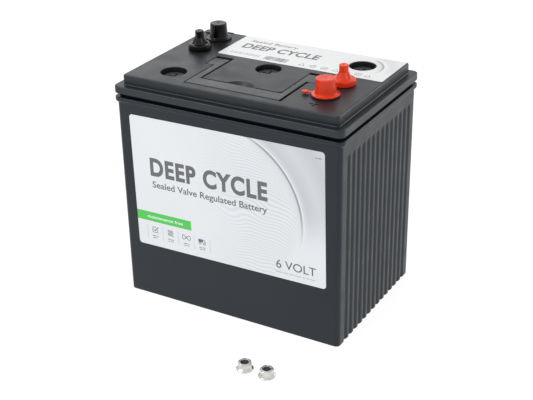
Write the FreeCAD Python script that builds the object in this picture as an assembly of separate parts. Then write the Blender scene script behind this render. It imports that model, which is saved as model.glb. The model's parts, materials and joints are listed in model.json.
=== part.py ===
import FreeCAD, Part
import math
import os

# A six-volt deep cycle battery: three cells in a moulded container with a welded cover, a folding
# carry handle, two terminals with a tapered post and a threaded stud each, slip-on terminal covers,
# and two loose flange nuts for the studs.
# Millimetres, +Z up. The origin is the centre of the container's base, X runs along the length, and
# the labelled front faces -Y.

V = FreeCAD.Vector
UP = V(0, 0, 1)

# Overall sizes
case_length = 260.0          # over the cover flange and the container rim
case_width = 179.0
container_height = 226.4
weld_gap = 4.0               # open groove between the container rim and the cover flange
flange_height = 7.6
lid_rise = 10.5              # raised part of the cover above its flange
flange_bottom = container_height + weld_gap
flange_top = flange_bottom + flange_height
lid_top = flange_top + lid_rise

# Container
rim_out = 2.4                # how far the rim stands out from the container's walls
rim_height = 4.0
wall = 4.0
base_thickness = 4.5
draft = 0.6                  # each side leans in by this much from the rim to the base
corner_round = 5.0
base_round = 1.0
cell_count = 3
partition = 3.0
wall_length = case_length - 2 * rim_out
wall_width = case_width - 2 * rim_out
inner_length = wall_length - 2 * draft - 2 * wall
inner_width = wall_width - 2 * draft - 2 * wall
cell_length = (inner_length - (cell_count - 1) * partition) / cell_count
cell_pitch = cell_length + partition

# Grooves down the two ends
groove_count = 14
groove_margin = 16.6         # from the wall's edge to the first groove's centre
groove_share = 0.774         # of the pitch, over the groove's rounded lips
groove_depth = 2.1
groove_run_out = 1.0         # the cutters pass the base by this much
groove_head = 22.4           # plain wall above the centre of the groove's round top
groove_pitch = (wall_width - 2 * groove_margin) / (groove_count - 1)
groove_width = groove_share * groove_pitch
groove_high = container_height - groove_head

# Cover
flange_round = 7.0
ledge = 8.0                  # flat ledge round the raised part
lid_round = 3.0
lid_length = case_length - 2 * ledge
lid_width = case_width - 2 * ledge
lid_wall = 3.5
weld_inset = 4.5             # the weld wall stands this far inside the flange
weld_wall = 3.2
weld_round = 3.0
cavity_round = 2.0
cavity_shoulder = 3.1        # height of the wide cavity above the flange's underside
lid_inside = lid_top - lid_wall

crown_round = 1.5            # edge of the raised part
flange_edge_round = 1.2
foot_round = 1.0             # where the raised part meets the ledge
lip_round = 0.6              # edges of the channel, wells and scoop

# Terminals
post_height = 16.5           # above the lid
positive_post_top = 17.46    # diameters of standard tapered posts
negative_post_top = 15.88
post_taper = 1.0 / 9.0
positive_inset_x = 35.0      # of each post's centre from the edges of the raised part
negative_inset_x = 29.5
negative_inset_y = 24.5
positive_inset_y = 17.3      # in front of the middle of the clear lid ahead of its cell's vent
stud_offset_x = 1.5
stud_offset_y = 36.0
stud_diameter = 7.94
stud_height = 17.5
stud_head_over = 2.6         # the stud's head stands out this far all round
stud_head = 2.0
plate_thickness = 4.5
plate_half_width = 11.5
gasket = 3.5
riser_radius = 7.0
hole_clearance = 0.4
ring_rise = 1.0              # raised ring moulded round each post
ring_width = 4.6
positive_post_x = lid_length / 2 - positive_inset_x
negative_post_x = negative_inset_x - lid_length / 2
negative_post_y = lid_width / 2 - negative_inset_y
plate_top = lid_inside - gasket
plate_bottom = plate_top - plate_thickness

# Handle and its channel
handle_arm = 7.0
grip_inset = 10.9            # from the raised part's front edge to the grip
grip_width = 17.7
handle_thickness = 8.4
handle_drop = 0.2            # the bail lies this far below the lid's face
handle_shift = -0.9          # the bail has slid this far along its pins
knuckle_step = 10.1          # the knuckles stand out this far from the arms
knuckle_reach = 18.0         # in front of the pivot
pivot_y = 4.0
trunnion_radius = 3.0
trunnion_length = 5.0
running_clearance = 0.08
channel_side_gap = 1.9
channel_end_gap = 1.0
channel_inner_gap = 1.5
channel_under_gap = 1.4
channel_rear_gap = 6.0       # from the pivot to the channel's rear wall
channel_wall = 2.5
soft_corner = 4.0            # the two corners on the +X side that are well rounded
grip_round = 2.6             # front top edge of the grip
handle_edge_round = 0.7
socket_boss = 7.5
socket_to_plate = 3.0        # from a socket's boss to the positive terminal's plate
knuckle_half = (positive_post_x - plate_half_width - socket_to_plate - socket_boss
                - channel_inner_gap)
knuckle_front = pivot_y - knuckle_reach
handle_half = knuckle_half - knuckle_step
grip_front = grip_inset - lid_width / 2
handle_top = lid_top - handle_drop
handle_bottom = handle_top - handle_thickness
pivot_z = (handle_top + handle_bottom) / 2
channel_floor = handle_bottom - channel_under_gap
channel_half = handle_half + channel_side_gap
channel_front = grip_front - channel_end_gap
channel_rear = pivot_y + channel_rear_gap
pocket_half = knuckle_half + channel_inner_gap
pocket_front = knuckle_front - channel_inner_gap
panel_half = handle_half - handle_arm - channel_inner_gap
panel_front = grip_front + grip_width + channel_end_gap
scoop_radius = 19.2          # finger scoop in the panel's front edge
scoop_low_radius = 12.0
scoop_depth = 7.0
scoop_reach = 9.0            # how far the scoop cuts back into the panel

# Vents: one well, plug, seal and valve for each cell
vent_step_in = 1.2           # the outer vents stand this far in from their cells' centres
vent_inset_y = 30.9          # of the outer vents from the edges of the raised part
vent_shift = 1.7             # of all three towards the positive end
well_radius = 13.5
well_depth = 7.5
vent_wall = 2.5
seat_width = 3.0             # of the plug's seat round the bore
vent_drop = 12.0             # from the seat to the vent's floor
vent_floor = 3.0
neck_radius = 4.0
gas_hole = 1.75
plug_head_gap = 1.7          # between the plug's head and its well
plug_head = 2.5
plug_clearance = 0.1
plug_length = 10.0
valve_space = 1.0            # between the valve and the inside of the plug
plug_web = 3.0
ring_radius = 0.95           # of the O-ring's own section
ring_height = 2.5            # of the ring's centre above the plug's lower end
slot_length = 14.0
slot_width = 2.2
slot_depth = 1.2
valve_wall = 1.9
valve_top = 2.0
valve_clearance = 0.05
valve_lift = 1.0             # free space between the valve and the plug
vent_step_x = cell_pitch - vent_step_in
vent_step_y = lid_width / 2 - vent_inset_y
positive_post_y = (vent_step_y - well_radius - lid_width / 2) / 2 - positive_inset_y
vent_bore = well_radius - seat_width
plug_head_radius = well_radius - plug_head_gap
plug_inner = neck_radius + valve_clearance + valve_wall + valve_space
seat = lid_top - well_depth
vent_floor_top = seat - vent_drop
neck_top = seat - plug_web - valve_lift - valve_top

# Terminal covers
cap_clearance = 0.3
cap_wall = 0.9
cap_rest_gap = 0.3
cap_flange_radius = 13.9
cap_flange = 1.4
cap_top = 1.0
cap_head_room = 1.0
tab_reach = 20.5
tab_radius = 3.6
tab_thickness = 2.2
tab_neck_width = 3.0
positive_tab_turn = 192.0
negative_tab_turn = 155.0
skirt_radius = 12.4
skirt_height = 6.0
skirt_wall = 1.3
cone_radius = 7.3
cone_height = 5.8
stud_cap_wall = 0.6
stud_cap_clearance = 0.1
stud_cap_top = 1.5
stud_cap_height = 20.0

# Labels
label_thickness = 0.3
front_label_side = 15.8      # bare wall at each end
front_label_head = 15.4      # from the container's top edge
front_label_foot = 63.1      # from the floor
front_label_length = wall_length - 2 * front_label_side
front_label_height = container_height - front_label_head - front_label_foot
front_label_middle = front_label_foot + front_label_height / 2
front_label_round = 3.5
front_label_turn = 0.8       # degrees: it is stuck on slightly crooked
top_label_post_gap = 22.5    # from the negative post's centre
top_label_channel_gap = 7.8  # from the handle's channel
top_label_edge = 2.0         # from the edges of the raised part
top_label_round = 2.0
top_label_hole_gap = 0.9     # round the vent's well
top_label_left = negative_post_x + top_label_post_gap
top_label_right = lid_length / 2 - top_label_edge
top_label_front = channel_rear + top_label_channel_gap
top_label_back = lid_width / 2 - top_label_edge

# Plates, separators and straps of one cell
positive_count = 7
positive_thickness = 2.9
negative_thickness = 2.1
plate_foot = 3.5             # from the container's floor to the plates
plate_side_gap = 3.0
separator_over = 2.0         # the mats stand this far past the plates all round
lug_width = 12.0
lug_height = 10.0
strap_inset = 43.0           # of the straps' middles from the cell's side
strap_height = 8.0
strap_width = 16.0
strap_end_gap = 4.0
tab_plate = 5.0              # upright tab of a strap against the partition
tab_plate_height = 18.0
tab_head_room = 2.4          # from the tabs' tops to the container's top edge
weld_radius = 5.0
negative_count = positive_count + 1
mat_count = positive_count + negative_count - 1
plate_group = cell_length - 2 * plate_side_gap
mat_thickness = (plate_group - positive_count * positive_thickness
                 - negative_count * negative_thickness) / mat_count
plate_half_depth = inner_width / 2 - plate_side_gap - separator_over
plate_low = base_thickness + plate_foot
plate_high = container_height - tab_head_room - tab_plate_height - lug_height
strap_y = inner_width / 2 - strap_inset
strap_low = plate_high + lug_height
strap_high = strap_low + strap_height

# Flange nuts lying in front of the battery
nut_flange_radius = 8.6
nut_flange = 1.6
nut_flats = 12.7
nut_height = 8.6
thread_depth = 0.47
nut_distance = 72.8          # in front of the case
nut_bore = stud_diameter / 2 - thread_depth
nut_y = -(case_width / 2 + nut_distance)
nut_places = [(62.5, 8.0), (87.3, 22.0)]         # x and turn of each


def slab(length, width, radius, low, height, x=0.0, y=0.0):
    """An upright block with rounded corners, centred on x, y."""
    wire = outline(length, width, radius, low, x, y)
    return Part.Face(wire).extrude(V(0, 0, height))


def outline(length, width, radius, z, x=0.0, y=0.0):
    """A closed rounded rectangle in the plane z."""
    a, b, c = length / 2, width / 2, radius * (1 - math.sqrt(0.5))
    edges = []
    corners = [(1, 1), (-1, 1), (-1, -1), (1, -1)]
    points = []
    for sx, sy in corners:
        along_y = V(x + sx * a, y + sy * (b - radius), z)
        along_x = V(x + sx * (a - radius), y + sy * b, z)
        middle = V(x + sx * (a - c), y + sy * (b - c), z)
        start, end = (along_y, along_x) if sx * sy > 0 else (along_x, along_y)
        points.append((start, middle, end))
    for i, (start, middle, end) in enumerate(points):
        edges.append(Part.Arc(start, middle, end).toShape())
        edges.append(Part.LineSegment(end, points[(i + 1) % 4][0]).toShape())
    return Part.Wire(edges)


def box(x0, x1, y0, y1, z0, z1):
    return Part.makeBox(x1 - x0, y1 - y0, z1 - z0, V(x0, y0, z0))


def disc(radius, low, high, x=0.0, y=0.0):
    return Part.makeCylinder(radius, high - low, V(x, y, low), UP)


def cone(low_radius, high_radius, low, high, x=0.0, y=0.0):
    return Part.makeCone(low_radius, high_radius, high - low, V(x, y, low), UP)


def save(name, shape):
    """Write one node, as a solid where it is one piece."""
    shape = shape.removeSplitter()
    solids = shape.Solids
    for solid in solids:
        if not solid.isValid() or not solid.isClosed():
            raise ValueError("bad solid in " + name)
    whole = solids[0] if len(solids) == 1 else Part.makeCompound(solids)
    whole.exportStep("parts/" + name + ".step")


def cell_centre(cell):
    return (cell - (cell_count - 1) / 2) * cell_pitch


def cell_box(cell, low, high, margin_x=0.0, margin_y=0.0):
    """The inside of one cell between two heights."""
    middle = cell_centre(cell)
    half_x, half_y = cell_length / 2 - margin_x, inner_width / 2 - margin_y
    return box(middle - half_x, middle + half_x, -half_y, half_y, low, high)


# ---------------------------------------------------------------- container

def end_lean():
    """The unit vector up the leaning end wall."""
    lean = V(draft, 0, container_height)
    return lean.normalize()


def groove_tool(y):
    """A cutter for one groove: a soft-lipped channel up the end wall, open at the base, with
    a round top."""
    half, deep, out = groove_width / 2, groove_depth, 1.0
    quarter = half / 2
    profile = [V(0, -half, 0), V(-deep / 2, -quarter, 0), V(-deep, 0, 0),
               V(-deep / 2, quarter, 0), V(0, half, 0)]
    curve = Part.BSplineCurve()
    curve.interpolate(profile, InitialTangent=V(0, 1, 0), FinalTangent=V(0, 1, 0))
    back = [V(0, half, 0), V(out, half, 0), V(out, -half, 0), V(0, -half, 0)]
    wire = Part.Wire([curve.toShape()] + [Part.LineSegment(back[i], back[i + 1]).toShape()
                                          for i in range(3)])
    face = Part.Face(wire)
    length = groove_high + groove_run_out
    channel = face.extrude(V(0, 0, length))
    knife = Part.makeBox(4 * out + deep, half, 1, V(-2 * deep, 0, -0.5))
    half_face = face.common(knife)
    half_face.translate(V(0, 0, length))
    dome = half_face.Faces[0].revolve(V(0, 0, length), V(1, 0, 0), 180)
    tool = channel.fuse(dome)
    x_low = wall_length / 2 - draft - draft * groove_run_out / container_height
    tool.rotate(V(0, 0, 0), V(0, 1, 0), math.degrees(math.atan2(draft, container_height)))
    tool.translate(V(x_low, y, -groove_run_out))
    return tool


def grooves():
    """The grooves of both ends, the second set turned half round."""
    tools = []
    first = -(groove_count - 1) / 2 * groove_pitch
    for i in range(groove_count):
        tool = groove_tool(first + i * groove_pitch)
        tools.append(tool)
        turned = tool.copy()
        turned.rotate(V(0, 0, 0), UP, 180)
        tools.append(turned)
    return tools


def container():
    low = outline(wall_length - 2 * draft, wall_width - 2 * draft, corner_round, 0)
    high = outline(wall_length, wall_width, corner_round, container_height)
    body = Part.makeLoft([low, high], True, True)
    bottom = [e for e in body.Edges if e.BoundBox.ZMax < 0.01]
    body = body.makeFillet(base_round, bottom)
    rim_low = container_height - rim_height
    rim = slab(case_length, case_width, flange_round, rim_low, rim_height)
    under = outline(wall_length, wall_width, corner_round, rim_low - rim_out)
    over = outline(case_length, case_width, flange_round, rim_low)
    taper = Part.makeLoft([under, over], True, True)
    body = body.fuse([taper, rim]).removeSplitter()
    for cell in range(cell_count):
        body = body.cut(cell_box(cell, base_thickness, container_height + 1))
    for x in [(cell_centre(i) + cell_centre(i + 1)) / 2 for i in range(cell_count - 1)]:
        y = weld_side(x) * strap_y
        z = strap_high + (tab_plate_height - strap_height) / 2
        hole = Part.makeCylinder(weld_radius, partition, V(x - partition / 2, y, z), V(1, 0, 0))
        body = body.cut(hole)
    for tool in grooves():
        body = body.cut(tool)
    save("container", body)


# ---------------------------------------------------------------- cover

def vent_places():
    middle = (cell_count - 1) / 2
    return [((i - middle) * vent_step_x + vent_shift, (i - middle) * vent_step_y)
            for i in range(cell_count)]


def channel(grow=0.0, low=None):
    """The bail's channel in plan, as a block; grown, it is the channel with its walls."""
    low = channel_floor if low is None else low
    high = lid_top + 1
    outer = box(-channel_half - grow, channel_half + grow, channel_front - grow,
                channel_rear + grow, low, high)
    panel = box(-panel_half + grow, panel_half - grow, panel_front + grow,
                channel_rear + grow + 1, low - 1, high + 1)
    side = pocket_half + (socket_boss if grow else 0.0)
    pockets = box(-side, side, pocket_front - grow, channel_rear + grow, low, high)
    block = outer.fuse(pockets).cut(panel).removeSplitter()
    if grow:
        return block
    return round_uprights(block, [(channel_half, pocket_front), (panel_half, panel_front)], soft_corner)


def round_uprights(block, places, radius):
    """Round the upright edges that stand at the given places."""
    edges = [e for e in block.Edges for x, y in places
             if e.BoundBox.ZLength > 1 and abs(e.BoundBox.XMin - x) < 0.01
             and abs(e.BoundBox.XMax - x) < 0.01 and abs(e.BoundBox.YMin - y) < 0.01]
    return block.makeFillet(radius, edges)


def trunnion_sockets():
    """Blind holes in the pockets' outer walls for the bail's two pins."""
    radius = trunnion_radius + running_clearance
    half = pocket_half + trunnion_length - handle_shift
    tool = Part.makeCylinder(radius, 2 * half, V(-half, pivot_y, pivot_z), V(1, 0, 0))
    inside = box(-pocket_half, pocket_half, -case_width, case_width, 0, 2 * lid_top)
    return tool.cut(inside)


def terminals():
    """Sign, post centre, stud centre and the post's top diameter of each terminal."""
    rows = [("positive", positive_post_x, positive_post_y, 1, positive_post_top),
            ("negative", negative_post_x, negative_post_y, -1, negative_post_top)]
    return [(name, V(x, y, 0), V(x + s * stud_offset_x, y + s * stud_offset_y, 0), top)
            for name, x, y, s, top in rows]


def post_radius(top_diameter, z):
    """Radius of a tapered post at a height."""
    return (top_diameter + (lid_top + post_height - z) * post_taper) / 2


def polarity_marks():
    """A raised plus and minus beside the posts."""
    marks = []
    arm, bar, rise = 5.0, 1.6, 0.5
    for name, post, stud, top in terminals():
        away = 1 if post.y > 0 else -1
        x, y = post.x, post.y + away * 23.0
        marks.append(box(x - arm, x + arm, y - bar / 2, y + bar / 2, lid_top - 1, lid_top + rise))
        if name == "positive":
            marks.append(box(x - bar / 2, x + bar / 2, y - arm, y + arm, lid_top - 1, lid_top + rise))
    return marks


def cover():
    flange = slab(case_length, case_width, flange_round, flange_bottom, flange_height)
    raised = slab(lid_length, lid_width, lid_round, flange_top, lid_rise)
    crown = [e for e in raised.Edges if e.BoundBox.ZMin > lid_top - 0.01]
    raised = raised.makeFillet(crown_round, crown)
    weld = slab(case_length - 2 * weld_inset, case_width - 2 * weld_inset, weld_round,
                container_height, weld_gap)
    body = flange.fuse([raised, weld])

    keep = channel(channel_wall, channel_floor - channel_wall)
    for x, y in vent_places():
        keep = keep.fuse(disc(well_radius + vent_wall, seat - vent_wall, lid_top, x, y))
        keep = keep.fuse(disc(vent_bore + vent_wall, vent_floor_top - vent_floor, seat, x, y))
    shoulder = flange_bottom + cavity_shoulder
    for cell in range(cell_count):
        wide = cell_box(cell, container_height - 1, shoulder)
        limit = slab(case_length - 2 * weld_inset - 2 * weld_wall,
                     case_width - 2 * weld_inset - 2 * weld_wall, cavity_round, 0, lid_top)
        narrow = cell_box(cell, shoulder - 1, lid_inside)
        inside = slab(lid_length - 2 * lid_wall, lid_width - 2 * lid_wall, cavity_round, 0, lid_top)
        cavity = wide.common(limit).fuse(narrow.common(inside))
        body = body.cut(cavity.cut(keep))
    tubes = [disc(vent_bore + vent_wall, vent_floor_top - vent_floor, flange_bottom, x, y)
             for x, y in vent_places()]
    body = body.fuse(tubes)

    body = body.cut([channel(), trunnion_sockets(), finger_scoop()])
    for x, y in vent_places():
        body = body.cut([disc(well_radius, seat, lid_top + 1, x, y),
                         disc(vent_bore, vent_floor_top, seat + 1, x, y)])
        body = body.fuse(disc(neck_radius, vent_floor_top - 1, neck_top, x, y))
        body = body.cut(disc(gas_hole, container_height - 5, seat, x, y))
    body = soften(body.removeSplitter())
    for name, post, stud, top in terminals():
        hole = post_radius(top, lid_inside) + hole_clearance
        body = body.fuse(disc(hole + ring_width, lid_top - 1, lid_top + ring_rise, post.x, post.y))
        body = body.cut([disc(hole, lid_inside - 1, lid_top + 2, post.x, post.y),
                         disc(stud_diameter / 2 + hole_clearance, lid_inside - 1, lid_top + 2,
                              stud.x, stud.y)])
    body = body.fuse(polarity_marks())
    save("cover", body)


def flat_edges(body, z, half_x, half_y, inside):
    """Edges that lie level at z, inside or outside a rectangle about the centre."""
    found = []
    for edge in body.Edges:
        b = edge.BoundBox
        level = abs(b.ZMin - z) < 0.01 and abs(b.ZMax - z) < 0.01
        within = max(-b.XMin, b.XMax) < half_x and max(-b.YMin, b.YMax) < half_y
        if level and within == inside:
            found.append(edge)
    return found


def soften(body):
    """Round the edges of the cover that a hand meets."""
    half_x, half_y = lid_length / 2, lid_width / 2
    lips = flat_edges(body, lid_top, half_x - 2 * crown_round, half_y - 2 * crown_round, True)
    body = body.makeFillet(lip_round, lips)
    rim = flat_edges(body, flange_top, half_x + 1, half_y + 1, False)
    body = body.makeFillet(flange_edge_round, rim)
    foot = [e for e in flat_edges(body, flange_top, half_x + 1, half_y + 1, True)
            if e.BoundBox.YMin < 1 - half_y or e.BoundBox.YMax > half_y - 1
            or e.BoundBox.XMin < 1 - half_x or e.BoundBox.XMax > half_x - 1]
    body = body.makeFillet(foot_round, foot)
    under = flat_edges(body, flange_bottom, half_x + 5, half_y + 5, False)
    return body.makeFillet(flange_edge_round / 2, under)


def finger_scoop():
    """A sloping half-moon in the panel's front edge that lets a finger under the grip."""
    centre_y = panel_front + scoop_reach - scoop_radius
    tool = cone(scoop_low_radius, scoop_radius, lid_top - scoop_depth, lid_top, 0, centre_y)
    tool = tool.fuse(disc(scoop_radius, lid_top, lid_top + 1, 0, centre_y))
    edge = box(-scoop_radius, scoop_radius, panel_front - 0.5, panel_front + scoop_radius, 0,
               2 * lid_top)
    return tool.common(edge)


# ---------------------------------------------------------------- handle

def carry_handle():
    """A flat bail: a wide grip, two arms, a knuckle and a pin at each arm's end."""
    inner = handle_half - handle_arm
    grip = box(-handle_half, handle_half, grip_front, grip_front + grip_width,
               handle_bottom, handle_top)
    body = grip
    for side in (-1, 1):
        near, far = sorted((side * inner, side * handle_half))
        body = body.fuse(box(near, far, grip_front, pivot_y, handle_bottom, handle_top))
        near, far = sorted((side * inner, side * knuckle_half))
        body = body.fuse(box(near, far, knuckle_front, pivot_y, handle_bottom, handle_top))
        heel = Part.makeCylinder(handle_thickness / 2, far - near, V(near, pivot_y, pivot_z),
                                 V(1, 0, 0))
        start = knuckle_half if side > 0 else -knuckle_half - trunnion_length
        pin = Part.makeCylinder(trunnion_radius, trunnion_length, V(start, pivot_y, pivot_z),
                                V(1, 0, 0))
        body = body.fuse([heel, pin])
    body = body.removeSplitter()
    body = round_uprights(body, [(inner, grip_front + grip_width)], soft_corner - channel_inner_gap)
    body = round_uprights(body, [(handle_half, knuckle_front)], soft_corner - channel_inner_gap)
    front = [e for e in body.Edges
             if e.BoundBox.YMax < grip_front + 0.01 and e.BoundBox.ZMin > handle_top - 0.01]
    body = body.makeFillet(grip_round, front)
    level = [e for e in body.Edges if e.BoundBox.ZMin > handle_top - 0.01
             and e.BoundBox.YMin > grip_front + grip_round + 0.01]
    body = body.makeFillet(handle_edge_round, level)
    body.translate(V(handle_shift, 0, 0))
    save("carry_handle", body)


# ---------------------------------------------------------------- vents

def vent_plug(number, x, y):
    outer = vent_bore - plug_clearance
    low = seat - plug_length
    plug = disc(plug_head_radius, seat, seat + plug_head, x, y)
    plug = plug.fuse(disc(outer, low, seat, x, y))
    plug = plug.cut(disc(plug_inner, low, seat - plug_web, x, y))
    middle = low + ring_height
    channel_ring = disc(outer + 1, middle - ring_radius, middle + ring_radius, x, y)
    channel_ring = channel_ring.cut(disc(vent_bore - 2 * ring_radius, low, seat, x, y))
    plug = plug.cut(channel_ring)
    top = seat + plug_head
    for a, b in ((slot_length, slot_width), (slot_width, slot_length)):
        plug = plug.cut(box(x - a / 2, x + a / 2, y - b / 2, y + b / 2, top - slot_depth, top + 1))
    save("vent_plug_%d" % number, plug)
    ring = Part.makeTorus(vent_bore - ring_radius - 0.02, ring_radius - 0.02, V(x, y, middle), UP)
    save("vent_seal_%d" % number, ring)


def relief_valve(number, x, y):
    """A rubber cup over the vent neck; gas lifts it."""
    inner = neck_radius + valve_clearance
    top = seat - plug_web - valve_lift
    low = vent_floor_top + 0.6
    cup = disc(inner + valve_wall, low, top, x, y)
    cup = cup.cut(disc(inner, low - 1, top - valve_top, x, y))
    save("relief_valve_%d" % number, cup)


# ---------------------------------------------------------------- terminals and covers

def stadium(start, end, radius, low, high):
    """An upright block with a round end at each of two points."""
    along = end.sub(start)
    bar = Part.makeBox(along.Length, 2 * radius, high - low, V(0, -radius, low))
    bar.rotate(V(0, 0, 0), UP, math.degrees(math.atan2(along.y, along.x)))
    bar.translate(V(start.x, start.y, 0))
    ends = [disc(radius, low, high, p.x, p.y) for p in (start, end)]
    return bar.fuse(ends).removeSplitter()


def stud_shape(centre):
    top = lid_top + stud_height
    low = plate_bottom + 1.5
    bolt = disc(stud_diameter / 2, low, top, centre.x, centre.y)
    bolt = bolt.fuse(disc(stud_diameter / 2 + stud_head_over, low, low + stud_head, centre.x, centre.y))
    edge = [e for e in bolt.Edges if e.BoundBox.ZMin > top - 0.01]
    return bolt.makeChamfer(0.8, edge)


def terminal(name, post, stud, top_diameter):
    """A lead plate under the cover with a riser below and the tapered post above."""
    plate = stadium(post, stud, plate_half_width, plate_bottom, plate_top)
    top = lid_top + post_height
    body = plate.fuse(cone(post_radius(top_diameter, plate_top), post_radius(top_diameter, top),
                           plate_top, top, post.x, post.y))
    along = (strap_side_y(name) - post.y) / (stud.y - post.y)
    riser_x = post.x + along * (stud.x - post.x)
    body = body.fuse(disc(riser_radius, strap_high, plate_bottom, riser_x, strap_side_y(name)))
    edge = [e for e in body.Edges if e.BoundBox.ZMin > top - 0.01]
    body = body.makeChamfer(0.7, edge)
    bolt = stud_shape(stud)
    save(name + "_terminal", body.cut(bolt))
    save(name + "_stud", bolt)
    seal = stadium(post, stud, plate_half_width, plate_top, lid_inside)
    seal = seal.cut(cone(post_radius(top_diameter, plate_top), post_radius(top_diameter, lid_inside),
                         plate_top, lid_inside, post.x, post.y))
    seal = seal.cut(disc(stud_diameter / 2, plate_top, lid_inside, stud.x, stud.y))
    save(name + "_terminal_seal", seal)


def post_cover(name, post, top_diameter, turn):
    """A soft tapered cap with a base flange and a pull tab."""
    low = lid_top + ring_rise + cap_rest_gap
    inside = lid_top + post_height + cap_head_room
    top = inside + cap_top
    offset = cap_clearance + cap_wall
    cap = cone(post_radius(top_diameter, low) + offset, post_radius(top_diameter, top) + offset,
               low, top)
    crown = [e for e in cap.Edges if e.BoundBox.ZMin > top - 0.01]
    cap = cap.makeFillet(0.8, crown)
    cap = cap.fuse(disc(cap_flange_radius, low, low + cap_flange))
    neck = box(0, tab_reach, -tab_neck_width / 2, tab_neck_width / 2, low, low + cap_flange)
    tab = neck.fuse(disc(tab_radius, low, low + tab_thickness, tab_reach, 0))
    tab.rotate(V(0, 0, 0), UP, turn)
    cap = cap.fuse(tab)
    cap = cap.cut(cone(post_radius(top_diameter, low - 1) + cap_clearance,
                       post_radius(top_diameter, inside) + cap_clearance, low - 1, inside))
    cap.translate(V(post.x, post.y, 0))
    save(name + "_post_cover", cap)


def stud_cover(name, stud):
    """A skirted cap with a cone and a thin sleeve over the stud."""
    low = lid_top + cap_rest_gap
    shoulder = low + skirt_height
    neck = shoulder + cone_height
    top = low + stud_cap_height
    bore = stud_diameter / 2 + stud_cap_clearance
    sleeve = bore + stud_cap_wall
    cap = disc(skirt_radius, low, shoulder).cut(
        disc(skirt_radius - skirt_wall, low - 1, shoulder - skirt_wall))
    cap = cap.fuse(cone(cone_radius, sleeve, shoulder - skirt_wall, neck))
    cap = cap.fuse(disc(sleeve, neck, top))
    crown = [e for e in cap.Edges if e.BoundBox.ZMin > top - 0.01]
    cap = cap.makeFillet(0.6, crown)
    cap = cap.cut(disc(bore, low - 1, top - stud_cap_top))
    cap.translate(V(stud.x, stud.y, 0))
    save(name + "_stud_cover", cap)


# ---------------------------------------------------------------- labels

def front_label():
    """A stuck-on sheet that lies on the leaning front wall."""
    sheet = slab(front_label_length, front_label_height, front_label_round, 0, label_thickness)
    sheet.rotate(V(0, 0, 0), UP, front_label_turn)
    lean = math.degrees(math.atan2(draft, container_height))
    sheet.rotate(V(0, 0, 0), V(1, 0, 0), 90 + lean)
    wall_y = -(wall_width / 2 - draft + draft * front_label_middle / container_height)
    sheet.translate(V(0, wall_y, front_label_middle))
    save("front_label", sheet)


def top_label():
    x, y = (top_label_left + top_label_right) / 2, (top_label_front + top_label_back) / 2
    sheet = slab(top_label_right - top_label_left, top_label_back - top_label_front,
                 top_label_round, lid_top, label_thickness, x, y)
    vent_x, vent_y = vent_places()[-1]
    hole = disc(well_radius + top_label_hole_gap, lid_top - 1, lid_top + 1, vent_x, vent_y)
    save("top_label", sheet.cut(hole))


# ---------------------------------------------------------------- cells

def weld_side(x):
    """Side of the case on which the straps meet through the partition at x."""
    return -1 if x < 0 else 1


def strap_side(cell, positive):
    """Straps change sides from cell to cell so that neighbours meet."""
    side = -1 if cell % 2 == 0 else 1
    return side if positive else -side


def strap_side_y(name):
    cell = cell_count - 1 if name == "positive" else 0
    return strap_side(cell, name == "positive") * strap_y


def plate(x, thickness, lug_side):
    body = box(x, x + thickness, -plate_half_depth, plate_half_depth, plate_low, plate_high)
    y = lug_side * strap_y
    return body.fuse(box(x, x + thickness, y - lug_width / 2, y + lug_width / 2,
                         plate_high, strap_low))


def cell_group(cell):
    """Plates, glass mats and cast straps of one cell."""
    positives, negatives, mats = [], [], []
    x = cell_centre(cell) - plate_group / 2
    for i in range(positive_count + negative_count):
        positive = i % 2 == 1
        thickness = positive_thickness if positive else negative_thickness
        body = plate(x, thickness, strap_side(cell, positive))
        (positives if positive else negatives).append(body)
        x += thickness
        if i < mat_count:
            half = plate_half_depth + separator_over
            mats.append(box(x, x + mat_thickness, -half, half, base_thickness + 1,
                            plate_high + separator_over))
            x += mat_thickness
    number = cell + 1
    save("positive_plates_%d" % number, Part.makeCompound(positives))
    save("negative_plates_%d" % number, Part.makeCompound(negatives))
    save("separator_mats_%d" % number, Part.makeCompound(mats))
    for positive in (True, False):
        strap(cell, positive)


def strap(cell, positive):
    """A lead bar over the plate lugs, with an upright tab where it meets the next cell."""
    middle = cell_centre(cell)
    half = cell_length / 2 - strap_end_gap
    y = strap_side(cell, positive) * strap_y
    body = box(middle - half, middle + half, y - strap_width / 2, y + strap_width / 2,
               strap_low, strap_high)
    step = 1 if positive else -1
    if 0 <= cell + step < cell_count:
        inner = middle + step * cell_length / 2
        near, far = sorted((inner, inner - step * tab_plate))
        tab = box(near, far, y - strap_width / 2, y + strap_width / 2, strap_low,
                  strap_low + tab_plate_height)
        body = body.fuse(tab)
    save("%s_strap_%d" % ("positive" if positive else "negative", cell + 1), body)


def intercell_welds():
    for i in range(cell_count - 1):
        x = (cell_centre(i) + cell_centre(i + 1)) / 2
        z = strap_high + (tab_plate_height - strap_height) / 2
        weld = Part.makeCylinder(weld_radius, partition,
                                 V(x - partition / 2, weld_side(x) * strap_y, z), V(1, 0, 0))
        save("intercell_weld_%d" % (i + 1), weld)


# ---------------------------------------------------------------- nuts

def flange_nut(number, x, y, turn):
    corner = nut_flats / math.sqrt(3)
    points = [V(corner * math.cos(math.radians(60 * i)), corner * math.sin(math.radians(60 * i)), 0)
              for i in range(7)]
    hexagon = Part.Face(Part.makePolygon(points)).extrude(V(0, 0, nut_height))
    crown = cone(corner + nut_height * 1.6 - 1.0, corner - 1.0, 0, nut_height)
    hexagon = hexagon.common(crown)
    skirt = disc(nut_flange_radius, 0, nut_flange)
    slope = cone(nut_flange_radius, nut_flats / 2, nut_flange, 2 * nut_flange)
    nut = hexagon.fuse([skirt, slope]).cut(disc(nut_bore, -1, nut_height + 1))
    nut.rotate(V(0, 0, 0), UP, turn)
    nut.translate(V(x, y, 0))
    save("terminal_nut_%d" % number, nut)


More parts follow.
